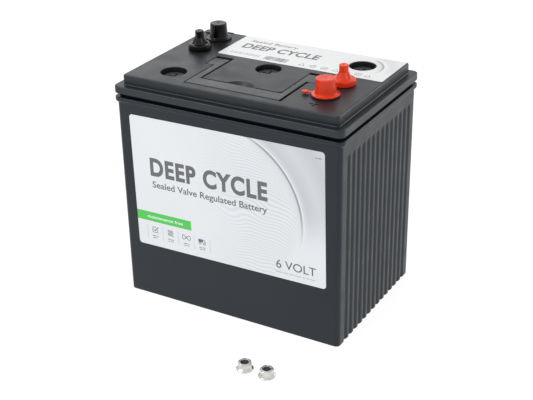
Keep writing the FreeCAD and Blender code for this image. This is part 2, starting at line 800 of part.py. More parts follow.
os.makedirs("parts", exist_ok=True)
container()
cover()
carry_handle()
for index, (vent_x, vent_y) in enumerate(vent_places()):
    vent_plug(index + 1, vent_x, vent_y)
    relief_valve(index + 1, vent_x, vent_y)
for (name, post, stud, top), turn in zip(terminals(), (positive_tab_turn, negative_tab_turn)):
    terminal(name, post, stud, top)
    post_cover(name, post, top, turn)
    stud_cover(name, stud)
front_label()
top_label()
for cell in range(cell_count):
    cell_group(cell)
intercell_welds()
for index, (nut_x, turn) in enumerate(nut_places):
    flange_nut(index + 1, nut_x, nut_y, turn)
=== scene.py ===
import bpy
import bmesh
import json
import math
import numpy as np
from mathutils import Matrix, Vector


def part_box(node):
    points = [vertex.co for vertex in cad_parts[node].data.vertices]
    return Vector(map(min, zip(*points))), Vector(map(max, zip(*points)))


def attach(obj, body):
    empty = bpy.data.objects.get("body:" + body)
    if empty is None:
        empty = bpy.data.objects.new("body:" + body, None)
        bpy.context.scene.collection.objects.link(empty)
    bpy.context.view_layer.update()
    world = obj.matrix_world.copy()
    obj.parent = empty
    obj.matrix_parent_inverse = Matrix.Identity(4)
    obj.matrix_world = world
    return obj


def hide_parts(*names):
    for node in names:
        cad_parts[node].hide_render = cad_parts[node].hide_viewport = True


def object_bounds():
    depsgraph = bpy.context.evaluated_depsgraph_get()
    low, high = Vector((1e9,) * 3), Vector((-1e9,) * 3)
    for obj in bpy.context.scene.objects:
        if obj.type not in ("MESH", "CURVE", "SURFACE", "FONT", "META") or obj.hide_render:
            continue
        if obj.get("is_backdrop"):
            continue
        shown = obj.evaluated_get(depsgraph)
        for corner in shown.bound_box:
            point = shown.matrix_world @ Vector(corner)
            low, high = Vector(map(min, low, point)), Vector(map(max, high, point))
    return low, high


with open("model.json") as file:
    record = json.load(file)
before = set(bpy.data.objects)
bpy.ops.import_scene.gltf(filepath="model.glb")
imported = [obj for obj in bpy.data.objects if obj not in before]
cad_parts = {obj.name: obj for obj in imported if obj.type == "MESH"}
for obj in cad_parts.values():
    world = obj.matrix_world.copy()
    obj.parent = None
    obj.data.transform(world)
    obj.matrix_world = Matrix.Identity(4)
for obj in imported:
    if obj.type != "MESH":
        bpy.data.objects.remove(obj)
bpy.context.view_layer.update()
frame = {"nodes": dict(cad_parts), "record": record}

# ---------------------------------------------------------------- container
# The container is one injection moulding in black polypropylene: an open box whose sides lean in
# slightly towards the base, with a rim round the mouth and fourteen shallow grooves down each end.
# Two partitions cross it, and the plates stand between them.

case_low, case_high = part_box("container")
case_half = (case_high - case_low) / 2
case_tall = case_high.z
rim_out, rim_tall, side_lean = 0.0024, 0.0040, 0.0006
corner_round, rim_round, foot_round, mouth_round = 0.0050, 0.0070, 0.0010, 0.0040
case_wall, case_floor = 0.0040, 0.0045
groove_count, groove_pitch, groove_half, groove_deep = 14, 0.010846, 0.0042, 0.0015
groove_high, groove_point = 0.2030, 1.7


def perimeter(side_steps, end_steps, turn_steps):
    """A walk anticlockwise round a rounded rectangle from the middle of the +X end. Each of its
    points is a pair (a, b) that scales the straight half lengths, and a unit normal (nx, ny), so
    that a point is the pair times the half lengths less the radius, plus the normal times it."""
    def straight(steps, fixed, along, nx, ny):
        run = np.asarray(steps) * along
        pair = (np.full(len(run), fixed), run) if nx else (run, np.full(len(run), fixed))
        return np.stack([*pair, np.full(len(run), nx), np.full(len(run), ny)])

    def corner(a, b, start):
        angle = np.linspace(start, start + math.pi / 2, turn_steps)
        return np.stack([np.full(turn_steps, a), np.full(turn_steps, b), np.cos(angle),
                         np.sin(angle)])

    quarter = math.pi / 2
    return np.concatenate([
        straight(end_steps, 1.0, 1, 1.0, 0.0), corner(1.0, 1.0, 0),
        straight(side_steps, 1.0, -1, 0.0, 1.0), corner(-1.0, 1.0, quarter),
        straight(end_steps, -1.0, -1, -1.0, 0.0), corner(-1.0, -1.0, 2 * quarter),
        straight(side_steps, -1.0, 1, 0.0, -1.0), corner(1.0, -1.0, 3 * quarter)], axis=1)


def carried(path, rows):
    """A profile carried along a perimeter. Each row is (half x, half y, radius, z), and its point
    is the pair times (half less radius), plus the normal times the radius, at height z."""
    a, b, nx, ny = path[:, None, :]
    hx, hy, r, z = np.asarray(rows).T[:, :, None]
    return np.stack([a * (hx - r) + nx * r, b * (hy - r) + ny * r, z + 0 * a], axis=-1)


def bend(centre, radius, start, end, steps):
    """Points of a profile's round edge: centre plus radius times cosine and sine of the angle."""
    angle = np.radians(np.linspace(start, end, steps))
    return np.stack([centre[0] + radius * np.cos(angle), centre[1] + radius * np.sin(angle)], 1)


show = bpy.context.scene.collection.objects.link


def make_piece(name, grids, body, material, stands_for=(), crease=35, loop=False):
    """A mesh from grids of points, rows by columns. Columns close on themselves, and rows do too
    when loop is set. Rows that shrink to a point close there, and faces are turned outwards."""
    points, faces, count = [], [], 0
    for grid in grids:
        rows, columns = grid.shape[:2]
        index = count + np.arange(rows * columns).reshape(rows, columns)
        index = np.concatenate([index, index[:, :1]], axis=1)
        if loop:
            index = np.concatenate([index, index[:1]], axis=0)
        quads = np.stack([index[:-1, :-1], index[:-1, 1:], index[1:, 1:], index[1:, :-1]], -1)
        points.append(grid.reshape(-1, 3))
        faces.append(quads.reshape(-1, 4))
        count += rows * columns
    mesh = bpy.data.meshes.new(name)
    mesh.from_pydata(np.concatenate(points).tolist(), [], np.concatenate(faces).tolist())
    return finish_piece(name, mesh, body, material, stands_for, crease)


def finish_piece(name, mesh, body, material, stands_for=(), crease=35):
    """Joins doubled points, turns the faces outwards, shades them smooth up to the crease angle,
    and puts the piece on its body."""
    work = bmesh.new()
    work.from_mesh(mesh)
    bmesh.ops.remove_doubles(work, verts=work.verts, dist=2e-7)
    bmesh.ops.dissolve_degenerate(work, edges=work.edges, dist=1e-8)
    bmesh.ops.recalc_face_normals(work, faces=work.faces)
    work.to_mesh(mesh)
    work.free()
    mesh.shade_smooth()
    mesh.set_sharp_from_angle(angle=math.radians(crease))
    mesh.materials.append(material)
    piece = bpy.data.objects.new(name, mesh)
    show(piece)
    even = piece.modifiers.new("even_shading", "WEIGHTED_NORMAL")
    even.keep_sharp = True
    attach(piece, body)
    if stands_for:
        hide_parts(*stands_for)
    return piece


def new_material(name):
    """A node material, a short way to add its nodes, add(kind, {input: value or socket}), and
    the place on the piece in object coordinates."""
    material = bpy.data.materials.new(name)
    material.use_nodes = True
    tree = material.node_tree
    shader = tree.nodes["Principled BSDF"]

    def add(kind, inputs=None, **settings):
        node = tree.nodes.new("ShaderNode" + kind)
        for key, value in settings.items():
            setattr(node, key, value)
        plug(node, inputs or {})
        return node

    def plug(node, inputs):
        for key, value in inputs.items():
            if isinstance(value, bpy.types.NodeSocket):
                tree.links.new(value, node.inputs[key])
            else:
                node.inputs[key].default_value = value

    return material, shader, add, plug, add("TexCoord").outputs["Object"]


def ramp(add, value, stops, smooth=False):
    """A colour ramp; each stop is (place, grey or colour)."""
    node = add("ValToRGB", {"Fac": value})
    band = node.color_ramp
    band.interpolation = "EASE" if smooth else "LINEAR"
    while len(band.elements) < len(stops):
        band.elements.new(0.5)
    for element, (place, colour) in zip(band.elements, stops):
        element.position = place
        element.color = (colour, colour, colour, 1) if isinstance(colour, float) else (*colour, 1)
    return node.outputs["Color"]


def blend(add, value, low, high):
    """A two-stop ramp, from one grey or colour at 0.3 to another at 0.7."""
    return ramp(add, value, [(0.3, low), (0.7, high)])


def noise(add, place, scale, detail, rough=0.5, bent=0.0):
    """A noise texture's value; bent is how far it is distorted."""
    return add("TexNoise", {"Vector": place, "Scale": scale, "Detail": detail,
                            "Roughness": rough, "Distortion": bent}).outputs["Fac"]


def maths(add, operation, *values, **settings):
    """One sum on one to three values, by its own name."""
    return add("Math", dict(enumerate(values)), operation=operation, **settings).outputs[0]


def bumped(add, height, strength, distance):
    """The normal that a height field gives."""
    return add("Bump", {"Height": height, "Strength": strength,
                        "Distance": distance}).outputs["Normal"]


def mesh_points(mesh):
    """The places of a mesh's vertices, one row each."""
    points = np.empty(len(mesh.vertices) * 3, np.float32)
    mesh.vertices.foreach_get("co", points)
    return points.reshape(-1, 3)


def moulded_plastic(name, dark, light, rough, grain, gloss, scuff):
    """Black moulded plastic: a spark-eroded grain as bump, a slow drift of tone where the melt
    flowed, a mottled gloss, and faint rub marks that run level."""
    material, shader, add, plug, place = new_material(name)
    drift = noise(add, place, 9.0, 3.0, 0.55)
    plug(shader, {"Base Color": ramp(add, drift, [(0.32, dark), (0.68, light)])})
    blotch = noise(add, place, 38.0, 4.0, 0.6)
    tone = blend(add, blotch, rough - 0.06, rough + 0.06)
    long_way = add("Mapping", {"Vector": place, "Scale": (14.0, 14.0, 260.0)})
    rub = noise(add, long_way.outputs["Vector"], 1.0, 3.0)
    mark = ramp(add, rub, [(0.62, 0.0), (0.72, scuff)])
    shine = maths(add, "SUBTRACT", tone, mark, use_clamp=True)
    plug(shader, {"Roughness": shine, "Specular IOR Level": gloss,
                  "Specular Tint": (0.88, 0.96, 1.0, 1.0)})
    fine = noise(add, place, grain, 2.0, 0.7)
    coarse = add("TexVoronoi", {"Vector": place, "Scale": grain * 0.45})
    mixed = maths(add, "ADD", fine, coarse.outputs["Distance"])
    bump = bumped(add, mixed, 0.22, 0.00012)
    plug(shader, {"Normal": bump})
    return material


case_plastic = moulded_plastic("case_plastic", (0.0008, 0.0024, 0.0060), (0.0022, 0.0044, 0.0085),
                               0.40, 1500.0, 0.45, 0.05)

across = (np.arange(groove_count * 12 + 1) / 12 - groove_count / 2) * groove_pitch
end_places = np.concatenate([[-0.0785], across, [0.0785]]) / 0.0787
side_places = np.linspace(-0.96, 0.96, 9)
case_path = perimeter(side_places, np.clip(end_places, -0.998, 0.998), 9)


def wall_row(z, out=0.0, radius=corner_round):
    """One level of the leaning wall: its half sizes shrink by the lean towards the base."""
    lean = side_lean * (1 - z / case_tall)
    return (case_half.x - rim_out - lean + out, case_half.y - rim_out - lean + out, radius, z)


foot = bend((-foot_round, foot_round), foot_round, -90, 0, 7)
levels = np.concatenate([[0.003, 0.02, 0.06, 0.11, 0.16, 0.19, 0.2],
                         np.arange(0.2015, 0.2125, 0.0008), [0.2145, 0.2175]])
rim_low = case_tall - rim_tall
rim_edge = 0.0005
mouth_in = rim_out + case_wall
outer = [(0.0005, 0.0005, 0.0004, 0.0), (case_half.x - 0.012, case_half.y - 0.012, 0.002, 0.0)]
outer += [(wall_row(0)[0] + o, wall_row(0)[1] + o, corner_round + o, z) for o, z in foot]
outer += [wall_row(z) for z in levels]
outer += [wall_row(rim_low - rim_out - 0.0004), wall_row(rim_low - rim_out, 0.0002)]
rim = np.concatenate([[(-0.0006, rim_low - 0.0007)],
                      bend((-rim_edge, rim_low + rim_edge), rim_edge, -40, 0, 3),
                      bend((-0.0008, case_tall - 0.0008), 0.0008, 0, 90, 5)])
outer += [(case_half.x + o, case_half.y + o, rim_round + o, z) for o, z in rim]
inner = [(-mouth_in, case_tall), (-mouth_in - 0.0005, case_tall - 0.0005),
         (-mouth_in - side_lean, case_floor + 0.001), (-mouth_in - side_lean - 0.001, case_floor)]
outer += [(case_half.x + o, case_half.y + o, mouth_round, z) for o, z in inner]
outer += [(0.0005, 0.0005, 0.0004, case_floor)]
shell = carried(case_path, outer)


def grooved(grid, rows):
    """Pushes the ends of some rows inwards. The depth of a groove is half of one plus the cosine
    of the distance from its middle line. Its top is round, drawn out by groove_point, and its
    foot is open."""
    part = grid[rows]
    x, y, z = part[..., 0], part[..., 1], part[..., 2]
    on_end = np.abs(case_path[2]) > 0.9999
    middle = (np.round(y / groove_pitch - 0.5) + 0.5) * groove_pitch
    past = np.maximum(z - groove_high, 0) / groove_point
    away = np.hypot(y - middle, past) / groove_half
    within = np.abs(middle) < (groove_count / 2) * groove_pitch
    depth = groove_deep * 0.5 * (1 + np.cos(np.pi * np.minimum(away, 1)))
    part[..., 0] = x - np.sign(x) * depth * on_end * within
    return grid


wall_rows = slice(2, 2 + len(foot) + len(levels))
shell = grooved(shell, wall_rows)
partitions = []
for weld in ("intercell_weld_1", "intercell_weld_2"):
    low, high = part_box(weld)
    block = perimeter(np.linspace(-0.9, 0.9, 3), np.linspace(-0.9, 0.9, 3), 2)
    half_x, half_y = (high.x - low.x) / 2, case_half.y - mouth_in - side_lean + 0.001
    sheet = carried(block, [(1e-5, 1e-5, 5e-6, case_floor - 0.001),
                            (half_x, half_y, 1e-4, case_floor - 0.001),
                            (half_x, half_y, 1e-4, case_tall - 0.0003),
                            (1e-5, 1e-5, 5e-6, case_tall - 0.0003)])
    partitions.append(sheet + [(low.x + high.x) / 2, 0, 0])
make_piece("container_shell", [shell, *partitions], "battery", case_plastic, ["container"],
           crease=32)

# ---------------------------------------------------------------- cells
# Each cell is a stack of pasted lead plates with white glass mats between them, and a cast lead
# strap over each set of plate lugs. The straps of neighbours meet through a partition and are
# fused there.


def smooth_shading(piece, crease=28, edge=0.0):
    """Shades a carried-over part: its loose faces are merged, edges sharper than the crease stay
    sharp, and a small round is put on them where edge is given."""
    key = "merge_and_shade_%d" % crease
    group = bpy.data.node_groups.get(key)
    if group is None:
        group = bpy.data.node_groups.new(key, "GeometryNodeTree")
        group.interface.new_socket("Geometry", in_out="INPUT", socket_type="NodeSocketGeometry")
        group.interface.new_socket("Geometry", in_out="OUTPUT", socket_type="NodeSocketGeometry")
        make = group.nodes.new
        start, end = make("NodeGroupInput"), make("NodeGroupOutput")
        merge, faces, edges = (make("GeometryNodeMergeByDistance"),
                               make("GeometryNodeSetShadeSmooth"),
                               make("GeometryNodeSetShadeSmooth"))
        merge.inputs["Distance"].default_value = 2e-6
        angle, wide = make("GeometryNodeInputMeshEdgeAngle"), make("FunctionNodeCompare")
        wide.operation = "GREATER_THAN"
        wide.inputs[1].default_value = math.radians(crease)
        edges.domain = "EDGE"
        edges.inputs["Shade Smooth"].default_value = False
        join = group.links.new
        join(start.outputs[0], merge.inputs["Geometry"])
        join(merge.outputs["Geometry"], faces.inputs["Geometry"])
        join(faces.outputs["Geometry"], edges.inputs["Geometry"])
        join(angle.outputs["Unsigned Angle"], wide.inputs[0])
        join(wide.outputs["Result"], edges.inputs["Selection"])
        join(edges.outputs["Geometry"], end.inputs[0])
    if edge:
        weld = piece.modifiers.new("merge", "WELD")
        weld.merge_threshold = 2e-6
        soft = piece.modifiers.new("soft_edges", "BEVEL")
        soft.width, soft.segments = edge, 2
        soft.limit_method, soft.angle_limit = "ANGLE", math.radians(40)
    shade = piece.modifiers.new("merge_and_shade", "NODES")
    shade.node_group = group
    even = piece.modifiers.new("even_shading", "WEIGHTED_NORMAL")
    even.keep_sharp = True


def carry_over(node, material, crease=28, edge=0.0):
    """Keeps a CAD node in view, with this material on all of it."""
    piece = frame["nodes"][node]
    if not piece.material_slots:
        piece.data.materials.append(material)
    for place in piece.material_slots:
        place.material = material
    smooth_shading(piece, crease, edge)


def pasted_plate(name, dark, light):
    """Dried active paste on a cast grid: a crumbly bump, and the grid's bars just showing as
    paler crossing lines."""
    material, shader, add, plug, place = new_material(name)
    crumb = noise(add, place, 420.0, 6.0, 0.7)
    axes = add("SeparateXYZ", {"Vector": place})
    bars = []
    for axis, pitch in (("Y", 0.012), ("Z", 0.008)):
        turn = maths(add, "MULTIPLY", axes.outputs[axis], 2 * math.pi / pitch)
        wave = maths(add, "COSINE", turn)
        bars.append(ramp(add, wave, [(0.86, 0.0), (0.95, 1.0)]))
    grid = maths(add, "MAXIMUM", bars[0], bars[1])
    paste = blend(add, crumb, dark, light)
    shade = add("MixRGB", {"Fac": grid, "Color1": paste, "Color2": (0.2, 0.2, 0.21, 1)})
    bump = bumped(add, crumb, 0.6, 0.0003)
    plug(shader, {"Base Color": shade.outputs["Color"], "Roughness": 0.85,
                  "Normal": bump})
    return material


def cast_lead(name, dark, light, rough):
    """Dull cast lead: soft grey with a mottled oxide bloom and a faint cast bump."""
    material, shader, add, plug, place = new_material(name)
    bloom = noise(add, place, 160.0, 5.0, 0.65)
    skin = noise(add, place, 900.0, 3.0)
    bump = bumped(add, skin, 0.3, 0.0001)
    plug(shader, {"Base Color": blend(add, bloom, dark, light),
                  "Roughness": blend(add, bloom, rough, rough + 0.2),
                  "Metallic": 0.85, "Normal": bump})
    return material


def glass_mat(name):
    """White microglass felt: fine crossed fibres in the bump, with a slightly uneven white."""
    material, shader, add, plug, place = new_material(name)
    fibres = noise(add, place, 1400.0, 4.0, bent=2.0)
    cloud = noise(add, place, 60.0, 3.0)
    bump = bumped(add, fibres, 0.5, 0.0002)
    plug(shader, {"Base Color": blend(add, cloud, (0.72, 0.72, 0.70), (0.82, 0.82, 0.80)),
                  "Roughness": 0.95, "Sheen Weight": 0.3, "Normal": bump})
    return material


positive_paste = pasted_plate("positive_paste", (0.055, 0.024, 0.014), (0.10, 0.045, 0.026))
negative_paste = pasted_plate("negative_paste", (0.14, 0.145, 0.155), (0.22, 0.225, 0.235))
strap_lead = cast_lead("strap_lead", (0.30, 0.31, 0.33), (0.42, 0.43, 0.45), 0.42)
mat_felt = glass_mat("mat_felt")
for node in frame["nodes"]:
    if node.startswith("positive_plates"):
        carry_over(node, positive_paste)
    elif node.startswith("negative_plates"):
        carry_over(node, negative_paste)
    elif node.startswith("separator_mats"):
        carry_over(node, mat_felt)
    elif "_strap_" in node or node.startswith("intercell_weld"):
        carry_over(node, strap_lead, edge=0.0005)

# ---------------------------------------------------------------- cover
# The cover is a second black moulding, welded to the partitions and walls, with an open groove left
# round the joint. Its raised part holds the vent wells, the handle's channel and a finger scoop.

cover_plastic = moulded_plastic("cover_plastic", (0.0030, 0.0045, 0.0075), (0.0055, 0.0072, 0.0105),
                                0.42, 1700.0, 0.54, 0.06)


def shade_groove(material, low, high, deep_gloss, open_gloss):
    """Takes the gloss off a plastic below a height, as painted shade that darkens the weld groove.
    """
    nodes, links = material.node_tree.nodes, material.node_tree.links
    place = next(node for node in nodes if node.type == "TEX_COORD")
    axes, gloss = nodes.new("ShaderNodeSeparateXYZ"), nodes.new("ShaderNodeMapRange")
    levels = {"From Min": low, "From Max": high, "To Min": deep_gloss, "To Max": open_gloss}
    for key, value in levels.items():
        gloss.inputs[key].default_value = value
    links.new(place.outputs["Object"], axes.inputs["Vector"])
    links.new(axes.outputs["Z"], gloss.inputs["Value"])
    links.new(gloss.outputs["Result"], nodes["Principled BSDF"].inputs["Specular IOR Level"])


# Painted shade: the cover's gloss drops almost to nothing in the weld groove, so the groove reads
# dark.
shade_groove(cover_plastic, case_tall + 0.0030, case_tall + 0.0040, 0.06, 0.54)
carry_over("cover", cover_plastic, crease=26)

# ---------------------------------------------------------------- vents
# Each cell has a threaded plug with a crossed coin slot, sealed by an O-ring, over a rubber cup that
# lifts to let gas out.

plug_plastic = moulded_plastic("plug_plastic", (0.030, 0.029, 0.026), (0.048, 0.046, 0.042),
                               0.42, 1900.0, 0.5, 0.03)


def soft_rubber(name, dark, light, rough):
    """Moulded rubber: a deep even black, a silky bloom and a very fine bump."""
    material, shader, add, plug, place = new_material(name)
    bloom = noise(add, place, 70.0, 4.0)
    skin = noise(add, place, 2200.0, 2.0)
    bump = bumped(add, skin, 0.2, 0.0001)
    plug(shader, {"Base Color": blend(add, bloom, dark, light),
                  "Roughness": blend(add, bloom, rough, rough + 0.1),
                  "Normal": bump})
    return material


valve_rubber = soft_rubber("valve_rubber", (0.008, 0.008, 0.008), (0.014, 0.014, 0.014), 0.55)
for number in (1, 2, 3):
    carry_over("vent_plug_%d" % number, plug_plastic, edge=0.0003)
    carry_over("vent_seal_%d" % number, valve_rubber)
    carry_over("relief_valve_%d" % number, valve_rubber, edge=0.0003)

# ---------------------------------------------------------------- handle
# The carry handle is a flat moulded bail with a wide grip, which folds flush into its channel and
# turns on a pin at the end of each arm.

handle_plastic = moulded_plastic("handle_plastic", (0.0035, 0.0050, 0.0080),
                                 (0.0060, 0.0078, 0.0110), 0.32, 1600.0, 0.50, 0.06)
carry_over("carry_handle", handle_plastic, crease=26)

# ---------------------------------------------------------------- terminals
# Each terminal is a lead plate under the cover with a tapered lead post through it, and a stainless
# stud with a rolled thread beside the post. A rubber gasket seals the plate to the cover.

post_lead = cast_lead("post_lead", (0.34, 0.35, 0.37), (0.50, 0.51, 0.53), 0.36)
mounts = {mount["name"]: Vector(mount["pos_m"]) for mount in frame["record"]["mounts"]}
thread_pitch, thread_deep = 0.001411, 0.00046


def stainless(name, dark, light, rough, scratch):
    """Bright stainless steel: turning marks as a fine stretched bump, with a patchy gloss."""
    material, shader, add, plug, place = new_material(name)
    turned = add("Mapping", {"Vector": place, "Scale": (300.0, 300.0, 4200.0)})
    marks = noise(add, turned.outputs["Vector"], 1.0, 3.0)
    patch = noise(add, place, 260.0, 4.0)
    bump = bumped(add, marks, scratch, 0.00005)
    plug(shader, {"Base Color": blend(add, patch, dark, light),
                  "Roughness": blend(add, patch, rough, rough + 0.14),
                  "Metallic": 1.0, "Normal": bump})
    return material


stud_steel = stainless("stud_steel", (0.56, 0.56, 0.55), (0.70, 0.70, 0.69), 0.22, 0.3)


def turned(profile, columns, centre=(0.0, 0.0), wobble=None):
    """A surface of revolution: each profile point (radius, z) goes round the upright axis at
    centre. wobble(angle, radius, z) gives a change of radius for flutes, flats and threads."""
    angle = np.linspace(0, 2 * math.pi, columns, endpoint=False)[None, :]
    radius, z = np.asarray(profile).T[:, :, None]
    if wobble is not None:
        radius = radius + wobble(angle, radius, z)
    return np.stack([centre[0] + radius * np.cos(angle), centre[1] + radius * np.sin(angle),
                     z + 0 * angle], axis=-1)


def thread(angle, z):
    """How far a thread's flank lies below its crest: a triangle wave of height over pitch less
    the turn round the axis, as a share of one."""
    turn = np.mod(z / thread_pitch - angle / (2 * math.pi), 1.0)
    return np.clip(1.25 * np.abs(2 * turn - 1) - 0.08, 0, 1)


for name in ("positive", "negative"):
    carry_over(name + "_terminal", post_lead, edge=0.0004)
    carry_over(name + "_terminal_seal", valve_rubber)
    centre = mounts[name + "_stud"]
    low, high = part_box(name + "_stud")
    head = (high.x - low.x) / 2
    shank = 0.00397
    stem = np.linspace(low.z + 0.0035, high.z - 0.0008, 152)
    bolt = [(1e-5, low.z), (head - 0.0004, low.z), (head, low.z + 0.0004),
            (head, low.z + 0.0016), (head - 0.0004, low.z + 0.0020), (shank, low.z + 0.0020),
            (shank, low.z + 0.0030)]
    bolt += [(shank, z) for z in stem] + [(shank - 0.0008, high.z), (1e-5, high.z)]

    def rolled(angle, radius, z):
        """Cuts the thread into the stem, and runs it out at both ends."""
        fade = np.clip((z - stem[0]) / 0.0008, 0, 1) * np.clip((stem[-1] - z) / 0.0004 + 0.3, 0, 1)
        on_stem = (z >= stem[0]) & (z <= stem[-1])
        return -thread_deep * thread(angle, z) * fade * on_stem

    make_piece(name + "_stud_thread", [turned(bolt, 40, centre, rolled)], "battery", stud_steel,
               [name + "_stud"], crease=40)

# ---------------------------------------------------------------- post covers
# A post cover is a soft vinyl cap dipped or moulded to the post's taper, with a rim at its foot, a
# gate mark on its crown and a pull tab on a short neck.


def vinyl(name, dark, light, rough, glow, gloss):
    """Soft semi-gloss vinyl: a slight orange-peel bump, a drifting tone and some light in its
    body where it is thin."""
    material, shader, add, plug, place = new_material(name)
    drift = noise(add, place, 55.0, 3.0)
    peel = noise(add, place, 520.0, 2.0)
    dust = noise(add, place, 240.0, 5.0, 0.7)
    bump = bumped(add, peel, 0.16, 0.0003)
    plug(shader, {"Base Color": blend(add, drift, dark, light),
                  "Roughness": blend(add, dust, rough, rough + 0.12),
                  "Subsurface Weight": glow, "Subsurface Radius": (1.0, 0.2, 0.1),
                  "Subsurface Scale": 0.0015, "Specular IOR Level": gloss, "Normal": bump})
    return material


red_vinyl = vinyl("red_vinyl", (0.66, 0.030, 0.002), (0.74, 0.040, 0.005), 0.20, 0.12, 0.36)
black_vinyl = vinyl("black_vinyl", (0.0014, 0.0014, 0.0016), (0.0030, 0.0030, 0.0032),
                    0.14, 0.0, 0.24)
caps = {"positive": (red_vinyl, "red_cap", 192.0), "negative": (black_vinyl, "black_cap", 155.0)}
post_top_radius = {"positive": 0.00873, "negative": 0.00794}
lid_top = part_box("top_label")[0].z
post_tall, taper = 0.0165, 1 / 18

for name, (skin, slot, tab_turn) in caps.items():
    low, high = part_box(name + "_post_cover")
    centre = mounts[name + "_post"]
    tip = post_top_radius[name]

    def post_at(z):
        """The post's radius at a height."""
        return tip + (lid_top + post_tall - z) * taper

    rim, foot = 0.0139, low.z
    wall = 0.0012
    crown = post_at(high.z) + wall
    body = post_at(foot + 0.0014) + wall
    inside = high.z - 0.0010
    profile = [(1e-5, inside), (post_at(inside) + 0.0003, inside),
               (post_at(foot) + 0.0003, foot + 0.0003), (post_at(foot) + 0.0006, foot),
               (rim - 0.0004, foot), (rim, foot + 0.0004),
               (rim, foot + 0.0010), (rim - 0.0004, foot + 0.0014), (body + 0.0009, foot + 0.0015),
               (body + 0.0003, foot + 0.0018), (body, foot + 0.0025)]
    profile += [(body + (crown - body) * t, foot + 0.0025 + (high.z - foot - 0.0036) * t)
                for t in (0.25, 0.5, 0.75, 1.0)]
    profile += list(bend((crown - 0.0011, high.z - 0.0011), 0.0011, 12, 90, 6))
    profile += [(0.0046, high.z), (0.0042, high.z - 0.00015), (0.0030, high.z - 0.00015),
                (0.0024, high.z - 0.0003), (0.0010, high.z - 0.0003), (0.0008, high.z - 0.0001),
                (1e-5, high.z - 0.0001)]
    cap = turned(profile, 64, centre)
    tab_thick, tab_radius, tab_out = 0.0022, 0.0034, 0.0205
    knob = [(1e-5, foot), (tab_radius - 0.0005, foot), (tab_radius, foot + 0.0005),
            (tab_radius, foot + tab_thick - 0.0007),
            (tab_radius - 0.0003, foot + tab_thick - 0.0002),
            (tab_radius - 0.0008, foot + tab_thick), (0.0015, foot + tab_thick - 0.0002),
            (1e-5, foot + tab_thick - 0.0002)]
    angle = math.radians(tab_turn)
    away = Vector((math.cos(angle), math.sin(angle), 0))
    tab = turned(knob, 32, centre + away * tab_out)
    run = np.linspace(0, 1, 12)[:, None]
    half = (0.0018 + 0.0036 * np.clip(1 - run / 0.3, 0, 1) ** 2
            + 0.0012 * np.clip(run / 0.5 - 1, 0, 1) ** 2)
    around = np.linspace(0, 2 * math.pi, 16, endpoint=False)[None, :]
    neck_from, neck_to = 0.0122, tab_out - 0.0015
    reach = neck_from + run * (neck_to - neck_from)
    across = np.sign(np.cos(around)) * np.abs(np.cos(around)) ** 0.5
    upward = np.sign(np.sin(around)) * np.abs(np.sin(around)) ** 0.5
    side = half * across
    lift = foot + 0.0008 + 0.0007 * upward + 0 * run
    neck = np.stack([centre.x + away.x * reach - away.y * side,
                     centre.y + away.y * reach + away.x * side, lift], axis=-1)
    ends = neck.mean(axis=1, keepdims=True) + 0 * neck
    neck = np.concatenate([ends[:1], neck, ends[-1:]])
    make_piece(name + "_post_cap", [cap, tab, neck], name + "_post_cover", skin,
               [name + "_post_cover"], crease=50)

# ---------------------------------------------------------------- stud covers
# A stud cover is moulded in the same vinyl: a wide skirt for the nut, a fluted cone above it, and a
# thin sleeve over the stud's tip.

for name, (skin, slot, tab_turn) in caps.items():
    low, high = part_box(name + "_stud_cover")
    centre = mounts[name + "_stud"]
    skirt = (high.x - low.x) / 2
    foot, top = low.z, high.z
    shoulder, neck_z = foot + 0.0060, foot + 0.0118
    bore, sleeve = 0.00407, 0.00467
    profile = [(1e-5, top - 0.0015), (bore, top - 0.0015), (bore, shoulder - 0.0013),
               (skirt - 0.0013, shoulder - 0.0014), (skirt - 0.0013, foot + 0.0002),
               (skirt - 0.0011, foot), (skirt - 0.0004, foot), (skirt, foot + 0.0005),
               (skirt - 0.0001, foot + 0.0030), (skirt - 0.0003, shoulder - 0.0012)]
    profile += list(bend((skirt - 0.0016, shoulder - 0.0013), 0.0013, 20, 90, 5))
    profile += [(0.0092, shoulder + 0.0001), (0.0083, shoulder + 0.0003)]
    profile += [(0.0078 + (sleeve - 0.0078) * t ** 0.8, shoulder + 0.0007 + (neck_z - shoulder) * t)
                for t in np.linspace(0, 1, 12)]
    profile += [(sleeve, neck_z + 0.0020), (sleeve - 0.0001, top - 0.0022), (sleeve, top - 0.0018)]
    profile += list(bend((sleeve - 0.0006, top - 0.0006), 0.0006, 10, 90, 5))
    profile += [(0.0016, top), (0.0012, top - 0.0003), (1e-5, top - 0.0003)]

    def fluted(angle, radius, z):
        """Eight ribs on the cone, which die away at its foot and on the sleeve."""
        rise = np.clip((z - shoulder) / 0.0014, 0, 1)
        share = rise * np.clip((neck_z + 0.003 - z) / 0.0035, 0, 1)
        ribs = 0.5 + 0.5 * np.cos(8 * angle)
        outside = radius > sleeve - 0.0002
        return 0.00095 * share * (ribs ** 2 - 0.35) * outside

    make_piece(name + "_stud_cap", [turned(profile, 96, centre, fluted)], name + "_stud_cover",
               skin, [name + "_stud_cover"], crease=50)

# ---------------------------------------------------------------- front label
# The front label is a printed silver-white film stuck on the container, a little crooked. A large
# arc and fine contour lines are printed in it, with a headline, a green bar and a row of icons.

label_low, label_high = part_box("front_label")
label_turn = math.radians(0.8)
label_long, label_high_side, label_thick = 0.2236, 0.1479, 0.0003
lean_angle = math.atan2(side_lean, case_tall)
label_middle = (label_low + label_high) / 2
wall_y = -(case_half.y - rim_out - side_lean * (1 - label_middle.z / case_tall))
front_place = (Matrix.Translation((label_middle.x, wall_y, label_middle.z))
               @ Matrix.Rotation(math.pi / 2 + lean_angle, 4, "X")
               @ Matrix.Rotation(label_turn, 4, "Z"))
arc_centre, arc_radius = (-0.0068, -0.0124), 0.0931


def eased(add, value, start, end):
    """A value's share of the way from start to end, eased at both."""
    return add("MapRange", {"Value": value, "From Min": start, "From Max": end},
               interpolation_type="SMOOTHSTEP").outputs[0]


